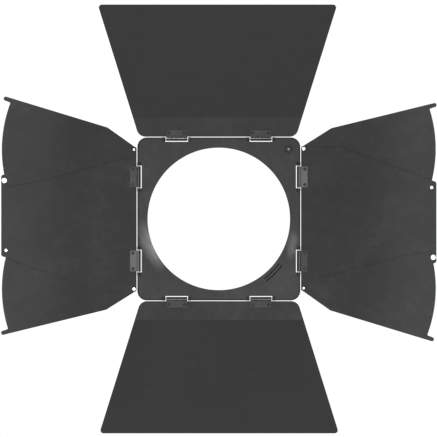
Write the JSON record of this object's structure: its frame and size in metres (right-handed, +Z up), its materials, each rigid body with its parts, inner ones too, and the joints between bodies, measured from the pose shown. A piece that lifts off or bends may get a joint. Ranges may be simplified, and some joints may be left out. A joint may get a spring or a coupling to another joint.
{
  "type": "barn door attachment",
  "caption": "Square stage-light frame with a round beam opening, two large bent doors above and below, and two flat side doors that each carry swinging leaves.",
  "frame": {"origin": "centre of the mounting rim's rear face, on the axis of the beam opening", "axes": "+Z up, -Y forward along the beam (the face that is seen when the doors are open), +X to the right seen from the front"},
  "size_m": [0.8286, 0.054, 0.8128],
  "materials": {
    "black_frame": "semi-gloss black paint, lightly scratched",
    "black_door": "satin black powder coat",
    "grey_strap": "worn dark grey, thin coat",
    "black_rivet": "blackened",
    "bright_rivet": "satin",
    "pin_steel": "plain drawn wire",
    "bright_steel": "zinc plated",
    "black_cap": "black, slightly glossy",
    "nylon": "natural"
  },
  "bodies": {
    "frame": {"frame_plate": "black_frame", "neck_ring": "black_frame", "mounting_rim": "black_frame", "corner_stud": "bright_steel", "corner_stud_washer": "bright_steel", "corner_stud_cap": "black_cap", "top_hinge_pin_left": "pin_steel", "top_hinge_pin_right": "pin_steel", "right_hinge_pin_upper": "pin_steel", "right_hinge_pin_lower": "pin_steel", "bottom_hinge_pin_left": "pin_steel", "bottom_hinge_pin_right": "pin_steel", "left_hinge_pin_upper": "pin_steel", "left_hinge_pin_lower": "pin_steel"},
    "top_door": {"top_door": "black_door", "top_hinge_strap_left": "black_door", "top_hinge_strap_right": "black_door", "top_strap_rivets": "black_rivet"},
    "right_door": {"right_door": "black_door", "right_hinge_strap_upper": "grey_strap", "right_hinge_strap_lower": "black_door", "right_strap_rivets": "black_rivet", "right_leaf_pivot_upper": "bright_rivet", "right_leaf_guide_upper": "bright_rivet", "right_leaf_washer_upper": "nylon", "right_leaf_pivot_lower": "bright_rivet", "right_leaf_guide_lower": "bright_rivet", "right_leaf_washer_lower": "nylon"},
    "right_leaf_upper": {"right_leaf_upper": "black_door"},
    "right_leaf_lower": {"right_leaf_lower": "black_door"},
    "bottom_door": {"bottom_door": "black_door", "bottom_hinge_strap_left": "black_door", "bottom_hinge_strap_right": "black_door", "bottom_strap_rivets": "black_rivet"},
    "left_door": {"left_door": "black_door", "left_hinge_strap_upper": "black_door", "left_hinge_strap_lower": "grey_strap", "left_strap_rivets": "black_rivet", "left_leaf_pivot_upper": "bright_rivet", "left_leaf_guide_upper": "bright_rivet", "left_leaf_washer_upper": "nylon", "left_leaf_pivot_lower": "bright_rivet", "left_leaf_guide_lower": "bright_rivet", "left_leaf_washer_lower": "nylon"},
    "left_leaf_upper": {"left_leaf_upper": "black_door"},
    "left_leaf_lower": {"left_leaf_lower": "black_door"}
  },
  "joints": [
    {"name": "top_door_hinge", "type": "hinge", "parent": "frame", "child": "top_door", "pos_m": [0, -0.01395, 0.152], "axis": [1, 0, 0], "range_deg": [-5, 165]},
    {"name": "bottom_door_hinge", "type": "hinge", "parent": "frame", "child": "bottom_door", "pos_m": [0, -0.01395, -0.152], "axis": [1, 0, 0], "range_deg": [-165, 5]},
    {"name": "left_door_hinge", "type": "hinge", "parent": "frame", "child": "left_door", "pos_m": [-0.152, -0.01395, 0], "axis": [0, 0, 1], "range_deg": [-5, 179]},
    {"name": "right_door_hinge", "type": "hinge", "parent": "frame", "child": "right_door", "pos_m": [0.152, -0.01395, 0], "axis": [0, 0, 1], "range_deg": [-179, 5]},
    {"name": "left_upper_leaf_pivot", "type": "hinge", "parent": "left_door", "child": "left_leaf_upper", "pos_m": [-0.1613, -0.0095, 0.1318], "axis": [0, -1, 0], "range_deg": [0, 33]},
    {"name": "left_lower_leaf_pivot", "type": "hinge", "parent": "left_door", "child": "left_leaf_lower", "pos_m": [-0.1613, -0.0095, -0.1334], "axis": [0, 1, 0], "range_deg": [0, 33]},
    {"name": "right_upper_leaf_pivot", "type": "hinge", "parent": "right_door", "child": "right_leaf_upper", "pos_m": [0.1613, -0.0095, 0.1334], "axis": [0, -1, 0], "range_deg": [-33, 0]},
    {"name": "right_lower_leaf_pivot", "type": "hinge", "parent": "right_door", "child": "right_leaf_lower", "pos_m": [0.1613, -0.0095, -0.1318], "axis": [0, 1, 0], "range_deg": [-33, 0]}
  ]
}
